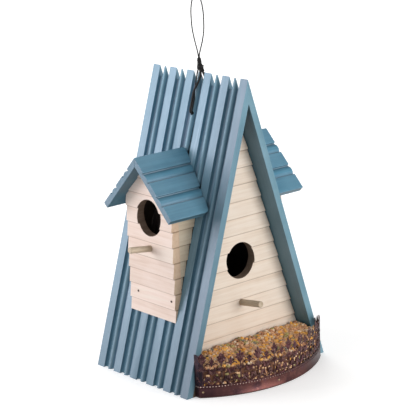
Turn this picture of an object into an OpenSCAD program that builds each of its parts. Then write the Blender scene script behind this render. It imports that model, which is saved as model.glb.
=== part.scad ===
// A-frame birdhouse with two side dormers, a bow-front seed tray, dowel perches,
// a swivelling clean-out cover at the back and a cord hanger.
// Millimetres, +Z up, +X to the right, the front faces -Y.
// The origin is at the middle of the footprint, on the surface that the house stands on.

/* [A-frame] */
// Height of the ridge
ridge_h = 300; // [280:1:320]
// Width of the roof over both bottom edges
roof_w = 184.7; // [178:0.1:190]
// Length of the ridge, front to back
roof_depth = 143; // [136:1:150]
// Thickness of the beaded roof boards
roof_t = 7; // [6:0.5:8]
// Width of each flat slat on the roof boards
slat_w = 10.5; // [9:0.5:12]
// Depth of the grooves between the slats
groove_d = 3.5; // [2:0.25:4]
// Diameter of the half-round bead in each groove
bead_d = 5.8; // [4:0.1:6.5]

/* [Walls] */
// Recess of the front wall behind the roof's front edge
front_recess = 19.2; // [15:0.1:24]
// Recess of the back wall in front of the roof's back edge
back_recess = 8; // [7:0.5:12]
// Thickness of the front boards, over the laps
wall_t = 10; // [9:0.5:12]
// How far each lap stands out over the one below it
lap_step = 1.8; // [1:0.1:2.2]
// Height of one lap on the front wall
front_lap = 16.66; // [14:0.01:19]
// Thickness of the back wall
back_t = 8; // [7:0.5:10]
// Thickness of the base board
base_t = 10; // [8:0.5:12]

/* [Entries and perches] */
// Diameter of the three entry holes
entry_d = 37; // [32:1:38]
// Height of the front entry
front_entry_z = 116; // [112:1:120]
// Diameter of the perch dowels
perch_d = 6.35; // [5:0.05:8]
// How far the front perch stands out
perch_reach = 29; // [22:1:34]
// How far a dormer's perch stands out
dormer_perch_reach = 26; // [20:1:32]
// Upward tilt of the perches
perch_tilt = 8; // [0:1:10]
// Height of the front perch
front_perch_z = 72.4; // [68:0.1:78]

/* [Dormers] */
// Distance from the middle of the house to a dormer's front
dormer_front = 73.1; // [70:0.1:76]
// Width of a dormer's front
dormer_w = 70.2; // [64:0.1:74]
// Height of one lap on a dormer
dormer_lap = 15.8; // [13:0.1:18]
// Thickness of the dormer's side boards
side_t = 6; // [5:0.5:7]
// Height of a dormer entry
dormer_entry_z = 165; // [160:1:168]
// Height of a dormer perch
dormer_perch_z = 133.9; // [128:0.1:138]
// Height of a dormer's ridge
dormer_ridge_z = 228.5; // [226:0.1:234]
// Overhang of a dormer's roof past its front
dormer_overhang = 13.5; // [10:0.1:20]
// Pitch of a dormer's roof
dormer_pitch = 45.6; // [44:0.1:50]
// Length of a dormer's roof board down the slope
dormer_slope_l = 75.7; // [72:0.1:80]
// Thickness of a dormer's roof boards
dormer_roof_t = 6.8; // [6:0.1:8]

/* [Seed tray] */
// How far the tray stands out in front of the roof
tray_reach = 36.7; // [32:0.1:42]
// Width of the tray
tray_w = 163; // [160:0.5:164]
// Radius of the tray's bowed front
tray_r = 124.35; // [118:0.05:132]
// Thickness of the copper strip
strip_t = 0.8; // [0.6:0.1:1.2]
// Height of the plain rim
rim_h = 11.7; // [10:0.1:13]
// Height of the pierced gallery's tips
gallery_top = 46.5; // [42:0.5:50]
// Height of the seed at the front wall
seed_z = 35; // [28:0.5:38]

/* [Clean-out] */
// Width of the clean-out opening
cleanout_w = 34; // [30:1:36]
// Height of the clean-out opening
cleanout_h = 34; // [30:1:36]
// Thickness of the swivelling cover
cover_t = 5; // [4:0.5:6]
// Height of the pivot screw
pivot_z = 74; // [70:1:78]

/* [Hanger] */
// Diameter of one strand of the cord
cord_d = 1.3; // [1:0.1:1.6]
// Height of the holes that the cord passes through
cord_hole_z = 260.2; // [256:0.1:262]
// Diameter of those holes
cord_hole_d = 4.4; // [4:0.1:5]

/* [Hidden] */
$fn = 64;

big = 400;
fit_gap = 0.03;

// A-frame: lean of the roof boards from the vertical, and the two slanted faces
half_w = roof_w / 2;
lean = atan(half_w / ridge_h);
wall_across = roof_t / cos(lean);
inner_apex_z = ridge_h - wall_across / tan(lean);
inner_half_w = half_w - wall_across;
board_l = ridge_h / cos(lean) + 2;

// Places along Y
pin_head_h = 0.6;
front_reach = tray_reach + pin_head_h;
roof_front = front_reach - (roof_depth + front_reach) / 2;
roof_back = roof_front + roof_depth;
mid_y = roof_front + roof_depth / 2;
wall_front = roof_front + front_recess;
wall_inside = wall_front + wall_t;
back_outside = roof_back - back_recess;
back_inside = back_outside - back_t;

// Slats, gaps and beads of a roof board
slats = 6;
slat_gap = (roof_depth - slats * slat_w) / (slats - 1);
slat_pitch = slat_w + slat_gap;
cord_hole_x = (ridge_h - cord_hole_z) * tan(lean);

// Laps
front_lap_z = 10.2;
dormer_lap_z = 62;
side_gap = 0.8;
siding_t = 4;
wall_top = inner_apex_z - 2.5;

// Dormers
eave_half = dormer_slope_l * cos(dormer_pitch);
soffit_apex_z = dormer_ridge_z - dormer_roof_t / cos(dormer_pitch);
soffit_side_z = soffit_apex_z - dormer_w / 2 * tan(dormer_pitch);
dormer_foot_z = ridge_h - dormer_front / tan(lean) + 2;
dormer_t = 9.5;
dormer_inner_x = dormer_front - dormer_t;
dormer_bead_s = [24.5, 52.6];
dormer_channel_w = 12;
dormer_groove_d = 2;
// The low crowned bead in each channel: its width, and the radius that brings it up to the board's face
dormer_bead_w = 9.6;
dormer_bead_r = (pow(dormer_bead_w / 2, 2) + pow(dormer_groove_d, 2)) / (2 * dormer_groove_d);

// Brads
brad_d = 1.4;
brad_head_d = 2.4;
brad_l = 12;
brad_head_h = 0.4;
brad_z = 85.6;
brad_apart = 52;
brad_shift = 3.5;

// Tray
tray_cy = roof_front - tray_reach + tray_r;
rim_foot = 0.8;
rim_top = rim_foot + rim_h;
tray_half_angle = asin(tray_w / 2 / tray_r);
crowns = 16;
crown_step = 2 * tray_half_angle / crowns;
pin_angles = [-39.3, -2.1, 39.3];
pin_z = 6.2;
pin_d = 1.5;
pin_head_d = 2.8;
pin_l = 7;
seed_gap = 0.3;

// Clean-out
cleanout_z = 28;
cover_w = 46;
cover_above = 8;
cover_h = pivot_z + cover_above - 22;
cover_gap = 0.25;
cover_y = back_outside + cover_gap;
screw_d = 3.5;
screw_head_d = 7.6;
screw_head_h = 2.4;
screw_l = cover_t + 6.5;
screw_running = 0.06;

// Hanger. The routes lie in a plane across the house or along it, at the ridge's middle.
sling_d = 2 * cord_d;
knot_foot = ridge_h + 0.6;
knot_turns = 6;
knot_pitch = 2.5;
knot_r = [2.5, 2.7, 2.6, 2.3, 2, 1.6];
// Across and up, from the knot down one side, through the attic and up the other side
sling_route = [
    [-1.5, 300.6], [-2.8, 297.2], [-5.4, 290], [-8.2, 281.6], [-10.7, 273.4], [-12.7, 266.4],
    [-13.2, 263.2], [-12.9, 261.3], [-12, 260.3], [-10.2, 259.6], [-8, 258.9], [-5.4, 258.1],
    [-2.8, 257.5], [0, 257.2],
    [2.8, 257.5], [5.4, 258.1], [8, 258.9], [10.2, 259.6], [12, 260.3], [12.9, 261.3],
    [13.2, 263.2], [12.7, 266.4], [10.7, 273.4], [8.2, 281.6], [5.4, 290], [2.8, 297.2],
    [1.5, 300.6]
];
// Along the ridge and up, from the knot round the top of the loop and back
loop_route = [
    [0.8, 315.6], [1.2, 318], [2.4, 322], [4.2, 327], [6.2, 333], [7.8, 339], [8.8, 345],
    [9.3, 351], [9.3, 357], [8.7, 363], [7.2, 369], [5, 373.4], [2.6, 376], [0, 376.8],
    [-2.6, 376], [-5, 373.4], [-7.2, 369], [-8.7, 363], [-9.4, 357], [-9.6, 351],
    [-9.4, 345], [-8.6, 339], [-7, 333], [-4.9, 327], [-2.8, 322], [-1.3, 318], [-0.8, 315.6]
];

// ---------- shared shapes ----------

// The prism under both outer roof faces
module outer_prism() {
    translate([0, big / 2, 0]) rotate([90, 0, 0])
        linear_extrude(big) polygon([[-half_w, 0], [half_w, 0], [0, ridge_h]]);
}

// The prism between both inner roof faces, from one Y to another, drawn in on each side
module inner_prism(y0, y1, inset = 0) {
    w = inner_half_w - inset / cos(lean);
    translate([0, y1, 0]) rotate([90, 0, 0])
        linear_extrude(y1 - y0) polygon([[-w, 0], [w, 0], [0, w / tan(lean)]]);
}

// Lap siding: its outer face is on Y = 0 at each lap's lower edge, and it runs along X
module lap_siding(length, thick, low, high, pitch, first_z) {
    k0 = floor((low - first_z) / pitch);
    k1 = ceil((high - first_z) / pitch) - 1;
    steps = [for (k = [k0:k1]) each [
        [0, first_z + k * pitch],
        [lap_step, first_z + (k + 1) * pitch]
    ]];
    top = first_z + (k1 + 1) * pitch;
    bottom = first_z + k0 * pitch;
    rotate([90, 0, 90]) linear_extrude(length, center = true)
        polygon(concat(steps, [[thick, top], [thick, bottom]]));
}

// A hole or rod along X from the middle outwards on the right side
module along_x(d, x0, x1, y, z) {
    translate([x0, y, z]) rotate([0, 90, 0]) cylinder(d = d, h = x1 - x0);
}

// A rod with a rounded-off rim at its outer end, along +Z
module dowel(d, length, inside) {
    chamfer = 0.5;
    rotate_extrude() polygon([
        [0, -inside], [d / 2, -inside], [d / 2, length - chamfer],
        [d / 2 - chamfer, length], [0, length]
    ]);
}

// A brad or screw along +Z: flat under the head at Z = 0, the shank below it
module nail(d, head_d, head_h, length, grow = 0) {
    translate([0, 0, -length - grow]) cylinder(d = d + 2 * grow, h = length + 2 * grow);
    translate([0, 0, -grow]) cylinder(d = head_d, h = head_h);
}

// ---------- A-frame ----------

// Cross-section of a roof board: depth along X, thickness along Y, the outer face on Y = 0
module roof_section() {
    difference() {
        translate([0, -roof_t]) square([roof_depth, roof_t]);
        for (i = [0:slats - 2])
            translate([slat_w + i * slat_pitch, -groove_d]) square([slat_gap, groove_d + 1]);
    }
    for (i = [0:slats - 2])
        translate([slat_w + i * slat_pitch + slat_gap / 2, -bead_d / 2]) circle(d = bead_d);
}

// A board laid down the right slope from the ridge
module down_slope(length) {
    translate([0, roof_front, ridge_h]) rotate([0, 90 - lean, 0]) rotate([90, 0, 90])
        linear_extrude(length) children();
}

module cord_hole() {
    translate([cord_hole_x, mid_y, cord_hole_z]) rotate([0, 90 - lean, 0])
        cylinder(d = cord_hole_d, h = 4 * roof_t, center = true);
}

module roof_board() {
    difference() {
        intersection() {
            down_slope(board_l) roof_section();
            translate([0, -big / 2, 0]) cube([big, big, big]);
        }
        cord_hole();
        along_x(entry_d, 0, big / 2, mid_y, dormer_entry_z);
        dormer_brad_set(fit_gap);
    }
}

module roof_panel_left() {
    color("#8fb0c9") mirror([1, 0, 0]) roof_board();
}

module roof_panel_right() {
    color("#8fb0c9") roof_board();
}

// ---------- walls and base ----------

module perch_axis_front() {
    translate([0, wall_front + lap_step / 2, front_perch_z]) rotate([90 - perch_tilt, 0, 0])
        children();
}

module front_wall() {
    color("#ecdfcb") difference() {
        intersection() {
            translate([0, wall_front, 0])
                lap_siding(roof_w, wall_t, base_t, wall_top, front_lap, front_lap_z);
            union() {
                inner_prism(wall_front - 1, wall_front + siding_t, side_gap);
                inner_prism(wall_front + siding_t, wall_inside + 1);
            }
            translate([-big / 2, -big / 2, base_t]) cube([big, big, wall_top - base_t]);
        }
        translate([0, wall_inside + 1, front_entry_z]) rotate([90, 0, 0])
            cylinder(d = entry_d, h = wall_t + 4);
        perch_axis_front() cylinder(d = perch_d + 2 * fit_gap, h = big / 4, center = true);
    }
}

module back_wall() {
    color("#ecdfcb") difference() {
        intersection() {
            inner_prism(back_inside, back_outside);
            translate([-big / 2, -big / 2, base_t]) cube([big, big, wall_top - base_t]);
        }
        translate([-cleanout_w / 2, back_inside - 1, cleanout_z])
            cube([cleanout_w, back_t + 2, cleanout_h]);
        translate([0, back_outside + 1, pivot_z]) rotate([90, 0, 0])
            cylinder(d = screw_d + 2 * fit_gap, h = back_t + 2);
    }
}

module tray_outline(inset) {
    w = tray_w / 2 - inset;
    intersection() {
        translate([0, tray_cy]) circle(r = tray_r - inset, $fn = 128);
        translate([-w, roof_front - tray_reach - 5]) square([2 * w, tray_reach + 5]);
    }
}

module base_board() {
    color("#d9bf98") difference() {
        union() {
            intersection() {
                inner_prism(roof_front, back_outside);
                translate([-big / 2, -big / 2, 0]) cube([big, big, base_t]);
            }
            linear_extrude(base_t) tray_outline(strip_t);
        }
        tray_pin_set(fit_gap);
    }
}

module front_perch() {
    color("#b3a48e") perch_axis_front() dowel(perch_d, perch_reach, wall_t - 2);
}

// ---------- dormers, drawn on the right and mirrored ----------

module dormer_brad_set(grow) {
    lap_share = (brad_z - dormer_lap_z) / dormer_lap;
    face_x = dormer_front - lap_step * (lap_share - floor(lap_share));
    for (side = [-1, 1])
        translate([face_x, mid_y - brad_shift + side * brad_apart / 2, brad_z]) rotate([0, 90, 0])
            nail(brad_d, brad_head_d, brad_head_h, brad_l, grow);
}

module perch_axis_dormer() {
    translate([dormer_front - lap_step / 2, mid_y, dormer_perch_z])
        rotate([0, 90 - perch_tilt, 0]) children();
}

module dormer_front_board() {
    half = dormer_w / 2;
    color("#ecdccb") difference() {
        intersection() {
            translate([dormer_front, mid_y, 0]) rotate([0, 0, 90])
                lap_siding(dormer_w + 10, dormer_t, dormer_foot_z, soffit_apex_z,
                    dormer_lap, dormer_lap_z);
            translate([dormer_inner_x - 1, mid_y, 0]) rotate([90, 0, 90])
                linear_extrude(dormer_t + 2) polygon([
                    [-half, dormer_foot_z], [half, dormer_foot_z], [half, soffit_side_z],
                    [0, soffit_apex_z], [-half, soffit_side_z]
                ]);
        }
        outer_prism();
        along_x(entry_d, dormer_inner_x - 2, dormer_front + 2, mid_y, dormer_entry_z);
        perch_axis_dormer() cylinder(d = perch_d + 2 * fit_gap, h = big / 4, center = true);
        dormer_brad_set(fit_gap);
    }
}

// The side board at the front of the house; the other one is its mirror image
module dormer_side_board() {
    half = dormer_w / 2;
    foot_z = ridge_h - dormer_inner_x / tan(lean) + 4;
    tip_x = (ridge_h - soffit_side_z) * tan(lean);
    soffit_inside_z = soffit_side_z + side_t * tan(dormer_pitch);
    color("#ddd0b4") difference() {
        intersection() {
            translate([dormer_inner_x / 2, mid_y - half, 0])
                lap_siding(dormer_inner_x, side_t, foot_z - 5, soffit_inside_z,
                    dormer_lap, dormer_lap_z);
            translate([0, mid_y - half + side_t, 0]) rotate([90, 0, 0])
                linear_extrude(side_t) polygon([
                    [dormer_inner_x, foot_z], [dormer_inner_x, soffit_inside_z],
                    [tip_x - 5, soffit_inside_z], [tip_x - 5, foot_z]
                ]);
        }
        outer_prism();
        dormer_roof_wedge();
    }
}

// Everything above the undersides of the dormer's roof boards
module dormer_roof_wedge() {
    drop = eave_half * tan(dormer_pitch);
    translate([-1, mid_y, 0]) rotate([90, 0, 90]) linear_extrude(big / 2) polygon([
        [-eave_half, soffit_apex_z - drop], [0, soffit_apex_z],
        [eave_half, soffit_apex_z - drop], [eave_half, big], [-eave_half, big]
    ]);
}

// Cross-section of the roof board that faces the front of the house, apex on the origin
module dormer_roof_section() {
    intersection() {
        mirror([1, 0]) rotate(-dormer_pitch) union() {
            difference() {
                translate([-10, -dormer_roof_t]) square([dormer_slope_l + 10, dormer_roof_t]);
                for (s = dormer_bead_s)
                    translate([s - dormer_channel_w / 2, -dormer_groove_d])
                        square([dormer_channel_w, dormer_groove_d + 1]);
            }
            for (s = dormer_bead_s)
                intersection() {
                    translate([s, -dormer_bead_r]) circle(r = dormer_bead_r);
                    translate([s - dormer_bead_w / 2, -dormer_groove_d - 1])
                        square([dormer_bead_w, dormer_groove_d + 1]);
                }
        }
        translate([-big / 2, -big / 2]) square([big / 2, big]);
    }
}

module dormer_roof_board() {
    color("#5f9aae") difference() {
        translate([0, mid_y, dormer_ridge_z]) rotate([90, 0, 90])
            linear_extrude(dormer_front + dormer_overhang) dormer_roof_section();
        outer_prism();
    }
}

module dormer_perch() {
    color("#b3a48e") perch_axis_dormer() dowel(perch_d, dormer_perch_reach, dormer_t - 2);
}

module dormer_brads() {
    color("#4b4038") dormer_brad_set(0);
}

// The aft pieces are the fore pieces mirrored about the middle of the ridge
module aft() {
    translate([0, mid_y, 0]) mirror([0, 1, 0]) translate([0, -mid_y, 0]) children();
}

module right_dormer_front() { dormer_front_board(); }
module right_dormer_side_fore() { dormer_side_board(); }
module right_dormer_side_aft() { aft() dormer_side_board(); }
module right_dormer_roof_fore() { dormer_roof_board(); }
module right_dormer_roof_aft() { aft() dormer_roof_board(); }
module right_perch() { dormer_perch(); }
module right_dormer_brads() { dormer_brads(); }

module left_dormer_front() { mirror([1, 0, 0]) dormer_front_board(); }
module left_dormer_side_fore() { mirror([1, 0, 0]) dormer_side_board(); }
module left_dormer_side_aft() { mirror([1, 0, 0]) aft() dormer_side_board(); }
module left_dormer_roof_fore() { mirror([1, 0, 0]) dormer_roof_board(); }
module left_dormer_roof_aft() { mirror([1, 0, 0]) aft() dormer_roof_board(); }
module left_perch() { mirror([1, 0, 0]) dormer_perch(); }
module left_dormer_brads() { mirror([1, 0, 0]) dormer_brads(); }

// ---------- seed tray ----------

module tray_strip(z0, z1) {
    translate([0, 0, z0]) linear_extrude(z1 - z0) difference() {
        tray_outline(0);
        tray_outline(strip_t);
        w = tray_w / 2 - strip_t;
        translate([-w, roof_front - 5]) square([2 * w, 10]);
    }
}

// Places children on the bowed front at an angle from its middle, Z outwards
module on_bow(angle, z) {
    translate([0, tray_cy, z]) rotate([0, 0, angle]) translate([0, -tray_r, 0])
        rotate([90, 0, 0]) children();
}

module tray_pin_set(grow) {
    for (angle = pin_angles)
        on_bow(angle, pin_z) nail(pin_d, pin_head_d, pin_head_h, pin_l, grow);
}

module tray_rim() {
    color("#7d4a45") difference() {
        tray_strip(rim_foot, rim_top);
        tray_pin_set(fit_gap);
    }
}

module tray_gallery() {
    tip_gap_d = 8;
    flower_d = 6;
    flower_z = 21;
    leaf_d = 4.6;
    leaf_z = 32;
    color("#5b3a42") difference() {
        tray_strip(rim_top, gallery_top);
        for (i = [0:crowns - 1]) {
            angle = (i + 0.5) * crown_step - tray_half_angle;
            on_bow(angle, flower_z) cylinder(d = flower_d, h = 6, center = true);
            on_bow(angle, gallery_top) cylinder(d = tip_gap_d, h = 6, center = true);
        }
        for (i = [1:crowns - 1])
            on_bow(i * crown_step - tray_half_angle, leaf_z)
                cylinder(d = leaf_d, h = 6, center = true);
    }
}

module tray_pins() {
    color("#b08d57") tray_pin_set(0);
}

// The seed lies between the front wall, the roof boards and the gallery
module seed_fill() {
    heap = [
        [wall_front - seed_gap, base_t], [wall_front - seed_gap, seed_z],
        [wall_front - 12, seed_z + 1], [roof_front - 16, seed_z - 1],
        [roof_front - 28, seed_z - 5], [roof_front - tray_reach, seed_z - 12],
        [roof_front - tray_reach, base_t]
    ];
    color("#c98f45") intersection() {
        rotate([90, 0, 90]) linear_extrude(tray_w, center = true) polygon(heap);
        union() {
            inner_prism(roof_front - seed_gap, wall_front, seed_gap);
            translate([0, 0, base_t]) linear_extrude(ridge_h / 4) intersection() {
                tray_outline(strip_t + seed_gap);
                translate([-tray_w / 2, roof_front - 2 * tray_reach])
                    square([tray_w, 2 * tray_reach - seed_gap]);
            }
        }
    }
}

// ---------- clean-out ----------

module cleanout_cover() {
    radius = 3;
    foot = pivot_z + cover_above - cover_h;
    color("#8fb0c9") translate([0, cover_y + cover_t, 0]) rotate([90, 0, 0]) difference() {
        union() {
            translate([-cover_w / 2, foot + radius, 0])
                cube([cover_w, cover_h - 2 * radius, cover_t]);
            translate([-cover_w / 2 + radius, foot, 0])
                cube([cover_w - 2 * radius, cover_h, cover_t]);
            for (x = [-1, 1], z = [foot + radius, foot + cover_h - radius])
                translate([x * (cover_w / 2 - radius), z, 0]) cylinder(r = radius, h = cover_t);
        }
        translate([0, pivot_z, -1])
            cylinder(d = screw_d + 2 * screw_running, h = cover_t + 2);
    }
}

module cover_screw() {
    head_gap = 0.2;
    color("#b9b4a8") translate([0, cover_y + cover_t + head_gap, pivot_z])
        rotate([-90, 0, 0]) {
            translate([0, 0, -screw_l]) cylinder(d = screw_d, h = screw_l);
            rotate_extrude() intersection() {
                translate([0, screw_head_h - screw_head_d]) circle(r = screw_head_d);
                square([screw_head_d / 2, screw_head_h]);
            }
        }
}

// ---------- hanger ----------

function unit(v) = v / norm(v);
function tangent(path, i) =
    unit(path[min(i + 1, len(path) - 1)] - path[max(i - 1, 0)]);

// A round tube along a route that lies in one plane whose normal is `flat`
module tube(path, d, flat) {
    sides = 8;
    rings = [for (i = [0:len(path) - 1])
        let (side = cross(tangent(path, i), flat))
        for (k = [0:sides - 1])
            path[i] + d / 2 * (cos(360 * k / sides) * side + sin(360 * k / sides) * flat)
    ];
    last = (len(path) - 1) * sides;
    walls = [for (i = [0:len(path) - 2], k = [0:sides - 1])
        let (a = i * sides + k, b = i * sides + (k + 1) % sides)
        [a, a + sides, b + sides, b]
    ];
    ends = [
        [for (k = [0:sides - 1]) k],
        [for (k = [sides - 1:-1:0]) last + k]
    ];
    polyhedron(rings, concat(walls, ends));
}

module hanger_sling() {
    color("#24211f")
        tube([for (p = sling_route) [p[0], mid_y, p[1]]], sling_d, [0, 1, 0]);
}

module hanger_knot() {
    core_r = 1.2;
    color("#24211f") translate([0, mid_y, knot_foot]) rotate_extrude() intersection() {
        union() {
            square([core_r, knot_turns * knot_pitch]);
            for (i = [0:knot_turns - 1])
                translate([knot_r[i] - knot_pitch / 2, (i + 0.5) * knot_pitch])
                    circle(d = knot_pitch + 0.5);
        }
        square([big, knot_turns * knot_pitch]);
    }
}

module hanger_loop() {
    color("#24211f")
        tube([for (p = loop_route) [0, mid_y + p[0], p[1]]], cord_d, [1, 0, 0]);
}

roof_panel_left();
roof_panel_right();
front_wall();
back_wall();
base_board();
front_perch();
left_dormer_front();
left_dormer_side_fore();
left_dormer_side_aft();
left_dormer_roof_fore();
left_dormer_roof_aft();
left_perch();
left_dormer_brads();
right_dormer_front();
right_dormer_side_fore();
right_dormer_side_aft();
right_dormer_roof_fore();
right_dormer_roof_aft();
right_perch();
right_dormer_brads();
tray_rim();
tray_gallery();
tray_pins();
seed_fill();
cleanout_cover();
cover_screw();
hanger_sling();
hanger_knot();
hanger_loop();
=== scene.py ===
"""A-frame birdhouse with side dormers, a pierced seed tray and a cord hanger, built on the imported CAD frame.

Lengths are in metres, in the CAD model's own frame: +Z up, the front faces -Y, the house stands on Z = 0.
"""

import math
import random

import bmesh
import bpy
import numpy as np
from mathutils import Matrix, Vector, noise


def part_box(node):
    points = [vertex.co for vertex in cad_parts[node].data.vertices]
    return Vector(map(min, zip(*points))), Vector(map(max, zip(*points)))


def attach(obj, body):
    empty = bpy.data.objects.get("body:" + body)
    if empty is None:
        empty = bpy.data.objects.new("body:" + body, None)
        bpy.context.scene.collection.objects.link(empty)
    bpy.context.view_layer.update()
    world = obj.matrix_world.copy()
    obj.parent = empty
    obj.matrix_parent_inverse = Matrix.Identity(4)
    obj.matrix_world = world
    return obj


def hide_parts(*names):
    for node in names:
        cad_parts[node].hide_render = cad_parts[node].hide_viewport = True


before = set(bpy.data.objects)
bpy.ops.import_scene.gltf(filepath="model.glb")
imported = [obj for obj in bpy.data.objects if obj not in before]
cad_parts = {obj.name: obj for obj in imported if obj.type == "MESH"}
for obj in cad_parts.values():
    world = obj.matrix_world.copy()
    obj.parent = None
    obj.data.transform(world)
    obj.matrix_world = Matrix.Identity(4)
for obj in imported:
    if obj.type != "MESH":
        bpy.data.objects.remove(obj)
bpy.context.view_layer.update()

MM = 0.001
SIDES = {"left": -1, "right": 1}


# ---------- places, worked out from the frame ----------

ROOF_LOW, ROOF_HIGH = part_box("roof_panel_right")
RIDGE_Z = ROOF_HIGH.z
HALF_W = ROOF_HIGH.x
LEAN = math.atan2(HALF_W, RIDGE_Z)
MID_Y = (ROOF_LOW.y + ROOF_HIGH.y) / 2
ROOF_FRONT = ROOF_LOW.y
ROOF_HALF_L = (ROOF_HIGH.y - ROOF_LOW.y) / 2
ROOF_T = 7 * MM
WALL_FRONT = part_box("front_wall")[0].y
FRONT_ENTRY_Z = 116 * MM
DORMER_ENTRY_Z = 165 * MM
ENTRY_R = 18.5 * MM

RIM_LOW, RIM_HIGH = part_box("tray_rim")
TRAY_HALF_W = RIM_HIGH.x
TRAY_FRONT = RIM_LOW.y
TRAY_R = 124.35 * MM
TRAY_CENTRE_Y = TRAY_FRONT + TRAY_R
GALLERY_FOOT = RIM_HIGH.z
BASE_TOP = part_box("base_board")[1].z
SEED_TOP = 35 * MM
WALL_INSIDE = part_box("front_wall")[1].y
BACK_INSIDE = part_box("back_wall")[0].y
DORMER_RIDGE_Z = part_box("left_dormer_roof_fore")[1].z
DORMER_PITCH = math.radians(45.6)
CHEEK_OFF = MID_Y - sum(corner.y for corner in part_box("left_dormer_side_fore")) / 2
LAP_FOOT = {"front": 10.2 * MM, "dormer": 62 * MM}
LAP_PITCH = {"front": 16.66 * MM, "dormer": 15.8 * MM}


# ---------- camera ----------

def new_object(name, data):
    made = bpy.data.objects.new(name, data)
    bpy.context.scene.collection.objects.link(made)
    return made


def make_camera():
    """The camera that was fitted to the photo."""
    yaw, pitch, roll = (math.radians(a) for a in (40.13, -14.98, -2.28))
    data = bpy.data.cameras.new("camera")
    data.sensor_width = 36
    data.lens = 143.7
    camera = new_object("camera", data)
    camera.location = (-1.0473, -1.2315, 0.5947)
    aim = Matrix.Rotation(-yaw, 3, "Z") @ Matrix.Rotation(math.pi / 2 + pitch, 3, "X")
    camera.rotation_euler = (aim @ Matrix.Rotation(roll, 3, "Z")).to_euler()
    bpy.context.scene.camera = camera


make_camera()


# ---------- meshes ----------

def add_object(name, mesh, body="house", materials=()):
    piece = new_object(name, mesh)
    for material in materials:
        mesh.materials.append(material)
    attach(piece, body)
    return piece


def smooth_mesh(mesh, angle=None):
    mesh.polygons.foreach_set("use_smooth", [True] * len(mesh.polygons))
    if angle is not None:
        mesh.set_sharp_from_angle(angle=math.radians(angle))


def mesh_of(name, points, faces, angle=None):
    mesh = bpy.data.meshes.new(name)
    mesh.from_pydata([tuple(p) for p in points], [], [tuple(f) for f in faces])
    mesh.validate()
    smooth_mesh(mesh, angle)
    return mesh


class Heap:
    """Collects many small closed shapes into the points and faces of one mesh."""

    def __init__(self):
        self.points, self.faces, self.slots, self.count = [], [], [], 0

    def add(self, points, faces, slot=0):
        points = np.asarray(points, float)
        self.points.append(points)
        self.faces.extend([[i + self.count for i in f] for f in faces])
        self.slots.extend([slot] * len(faces))
        self.count += len(points)

    def mesh(self, name, angle=None):
        mesh = mesh_of(name, np.concatenate(self.points), self.faces, angle)
        mesh.polygons.foreach_set("material_index", self.slots)
        return mesh


def ring_faces(rings, sides):
    """Quads between rings of points, and a cap on each end."""
    faces = [
        [i * sides + k, i * sides + (k + 1) % sides, (i + 1) * sides + (k + 1) % sides, (i + 1) * sides + k]
        for i in range(rings - 1) for k in range(sides)
    ]
    last = (rings - 1) * sides
    return faces + [list(range(sides))[::-1], [last + k for k in range(sides)]]


def smooth_route(route, steps):
    """A Catmull-Rom curve through a route's points, with that many steps between two of them."""
    p = np.asarray(route, float)
    p = np.vstack([2 * p[0] - p[1], p, 2 * p[-1] - p[-2]])
    out = []
    for i in range(1, len(p) - 2):
        a, b, c, d = p[i - 1:i + 3]
        slope, square, cube = c - a, 2 * a - 5 * b + 4 * c - d, 3 * b - a - 3 * c + d
        for t in np.arange(steps) / steps:
            out.append(0.5 * (2 * b + slope * t + square * t ** 2 + cube * t ** 3))
    return np.array(out + [p[-2]])


def carried_frames(route):
    """Tangents, and two directions across the route that turn as little as they can."""
    tangents = np.gradient(route, axis=0)
    tangents /= np.linalg.norm(tangents, axis=1)[:, None]
    side = np.cross(tangents[0], (0.3, 1, 0.2) if abs(tangents[0][1]) < 0.9 else (1, 0.2, 0.3))
    sides = []
    for t in tangents:
        side = side - t * (side @ t)
        side = side / np.linalg.norm(side)
        sides.append(side)
    sides = np.array(sides)
    return tangents, sides, np.cross(tangents, sides)


def rope(route, diameter, lay, strands=3, sides=12, relief=0.12):
    """Points and faces of a laid cord along a route: its strands turn once in every lay's length."""
    _, u, v = carried_frames(route)
    along = np.concatenate([[0], np.cumsum(np.linalg.norm(np.diff(route, axis=0), axis=1))])
    points = []
    for i, centre in enumerate(route):
        turn = math.tau * along[i] / lay
        for k in range(sides):
            angle = math.tau * k / sides
            radius = diameter / 2 * (1 - relief * (0.5 - 0.5 * math.cos(strands * (angle - turn))))
            points.append(centre + radius * (math.cos(angle) * u[i] + math.sin(angle) * v[i]))
    return np.array(points), ring_faces(len(route), sides)


# ---------- material nodes ----------

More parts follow.
